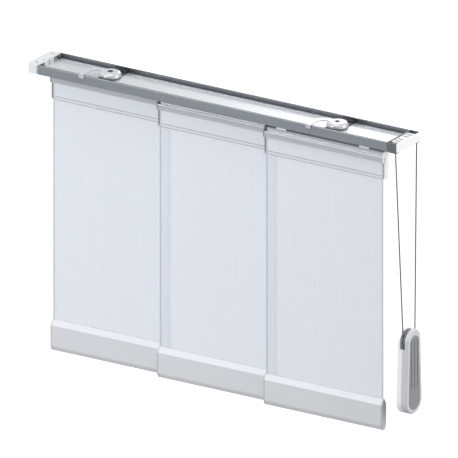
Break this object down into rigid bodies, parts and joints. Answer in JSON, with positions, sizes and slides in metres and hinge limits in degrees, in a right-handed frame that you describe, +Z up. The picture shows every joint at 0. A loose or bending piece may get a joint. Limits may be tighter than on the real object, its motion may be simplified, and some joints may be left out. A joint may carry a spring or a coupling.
{
  "type": "panel track blind",
  "caption": "Ceiling rail with sliding fabric panels, weighted bottom bars, swivel ceiling clips and an endless draw cord with a pulley weight.",
  "frame": {"origin": "midway between the two ceiling screw holes, on the ceiling", "axes": "+X along the rail towards the cord end, +Y away from the room, +Z up"},
  "size_m": [0.6091, 0.0619, 0.4235],
  "materials": {
    "rail_aluminium": "satin silver-grey anodised look",
    "carrier_aluminium": "satin off-white",
    "bar_aluminium": "satin white",
    "clear_plastic": "milky white",
    "white_plastic": "white",
    "bar_end_plastic": "light grey",
    "lever_plastic": "light grey",
    "carrier_end_plastic": "grey",
    "shell_plastic": "light grey",
    "wheel_plastic": "mid grey",
    "clip_plate": "blackened steel",
    "dark_plastic": "dark grey",
    "grip": "mid grey, soft",
    "steel": "zinc plated",
    "ballast": "plain",
    "hook_tape": "looped tape",
    "cloth": "fine translucent weave",
    "cord": "braided, grey"
  },
  "bodies": {
    "root": {"head_rail": "rail_aluminium", "end_cap_left": "clear_plastic", "return_wheel_axles": "steel", "pulley_housing": "dark_plastic", "housing_insert": "white_plastic", "cord_wheel_axles": "steel", "end_cover_right": "white_plastic", "clip_base_left": "clip_plate", "clip_base_right": "clip_plate", "draw_cord_in_rail": "cord", "draw_cord_hanging": "cord", "weight_shell_left": "white_plastic", "weight_shell_right": "shell_plastic", "grip_inlay_left": "grip", "grip_inlay_right": "grip", "weight_axle": "steel", "weight_ballast": "ballast", "weight_screw": "steel"},
    "panel_1": {"panel_1_carrier": "carrier_aluminium", "panel_1_carrier_cap_left": "carrier_end_plastic", "panel_1_carrier_cap_right": "white_plastic", "panel_1_glider_left": "white_plastic", "panel_1_glider_right": "white_plastic", "panel_1_hook_tape": "hook_tape", "panel_1_fabric": "cloth", "panel_1_bottom_bar": "bar_aluminium", "panel_1_hem_rod": "white_plastic", "panel_1_bar_cap_left": "bar_end_plastic", "panel_1_bar_cap_right": "bar_end_plastic"},
    "panel_2": {"panel_2_carrier": "carrier_aluminium", "panel_2_carrier_cap_left": "carrier_end_plastic", "panel_2_carrier_cap_right": "white_plastic", "panel_2_glider_left": "white_plastic", "panel_2_glider_right": "white_plastic", "panel_2_hook_tape": "hook_tape", "panel_2_fabric": "cloth", "panel_2_bottom_bar": "bar_aluminium", "panel_2_hem_rod": "white_plastic", "panel_2_bar_cap_left": "bar_end_plastic", "panel_2_bar_cap_right": "bar_end_plastic"},
    "panel_3": {"panel_3_carrier": "carrier_aluminium", "panel_3_carrier_cap_left": "carrier_end_plastic", "panel_3_carrier_cap_right": "white_plastic", "panel_3_glider_left": "white_plastic", "panel_3_glider_right": "white_plastic", "panel_3_hook_tape": "hook_tape", "panel_3_fabric": "cloth", "panel_3_bottom_bar": "bar_aluminium", "panel_3_hem_rod": "white_plastic", "panel_3_bar_cap_left": "bar_end_plastic", "panel_3_bar_cap_right": "bar_end_plastic", "cord_clamp": "white_plastic"},
    "clip_lever_left": {"clip_lever_left": "lever_plastic"},
    "clip_lever_right": {"clip_lever_right": "lever_plastic"},
    "return_wheel_front": {"return_wheel_front": "white_plastic"},
    "cord_wheel_front": {"cord_wheel_front": "white_plastic"},
    "return_wheel_back": {"return_wheel_back": "white_plastic"},
    "cord_wheel_back": {"cord_wheel_back": "white_plastic"},
    "weight_wheel": {"weight_wheel": "wheel_plastic"}
  },
  "joints": [
    {"name": "panel_1_slide", "type": "slide", "parent": "root", "child": "panel_1", "axis": [1, 0, 0], "range_m": [0, 0.362]},
    {"name": "panel_2_slide", "type": "slide", "parent": "root", "child": "panel_2", "axis": [1, 0, 0], "range_m": [-0.1805, 0.181]},
    {"name": "panel_3_slide", "type": "slide", "parent": "root", "child": "panel_3", "axis": [1, 0, 0], "range_m": [-0.362, 0]},
    {"name": "clip_lever_left_turn", "type": "hinge", "parent": "root", "child": "clip_lever_left", "pos_m": [-0.184, 0, -0.001], "axis": [0, 0, 1], "range_deg": [0, 60]},
    {"name": "clip_lever_right_turn", "type": "hinge", "parent": "root", "child": "clip_lever_right", "pos_m": [0.184, 0, -0.001], "axis": [0, 0, 1], "range_deg": [0, 60]},
    {"name": "return_wheel_front_spin", "type": "hinge", "parent": "root", "child": "return_wheel_front", "pos_m": [-0.2905, -0.02, -0.0094], "axis": [0, 0, 1], "continuous": true},
    {"name": "return_wheel_back_spin", "type": "hinge", "parent": "root", "child": "return_wheel_back", "pos_m": [-0.2905, 0.02, -0.0094], "axis": [0, 0, 1], "continuous": true},
    {"name": "cord_wheel_front_spin", "type": "hinge", "parent": "root", "child": "cord_wheel_front", "pos_m": [0.2924, -0.0265, -0.0124], "axis": [0, 1, 0], "continuous": true},
    {"name": "cord_wheel_back_spin", "type": "hinge", "parent": "root", "child": "cord_wheel_back", "pos_m": [0.2924, 0.0265, -0.0124], "axis": [0, 1, 0], "continuous": true},
    {"name": "weight_wheel_spin", "type": "hinge", "parent": "root", "child": "weight_wheel", "pos_m": [0.3003, 0, -0.2939], "axis": [1, 0, 0], "continuous": true}
  ],
  "couplings": [
    {"joint": "return_wheel_front_spin", "follows": "panel_3_slide", "rad_per_m": 153.85},
    {"joint": "return_wheel_back_spin", "follows": "panel_3_slide", "rad_per_m": 153.85},
    {"joint": "cord_wheel_front_spin", "follows": "panel_3_slide", "rad_per_m": 333.33},
    {"joint": "cord_wheel_back_spin", "follows": "panel_3_slide", "rad_per_m": -333.33},
    {"joint": "weight_wheel_spin", "follows": "panel_3_slide", "rad_per_m": 68.966}
  ]
}
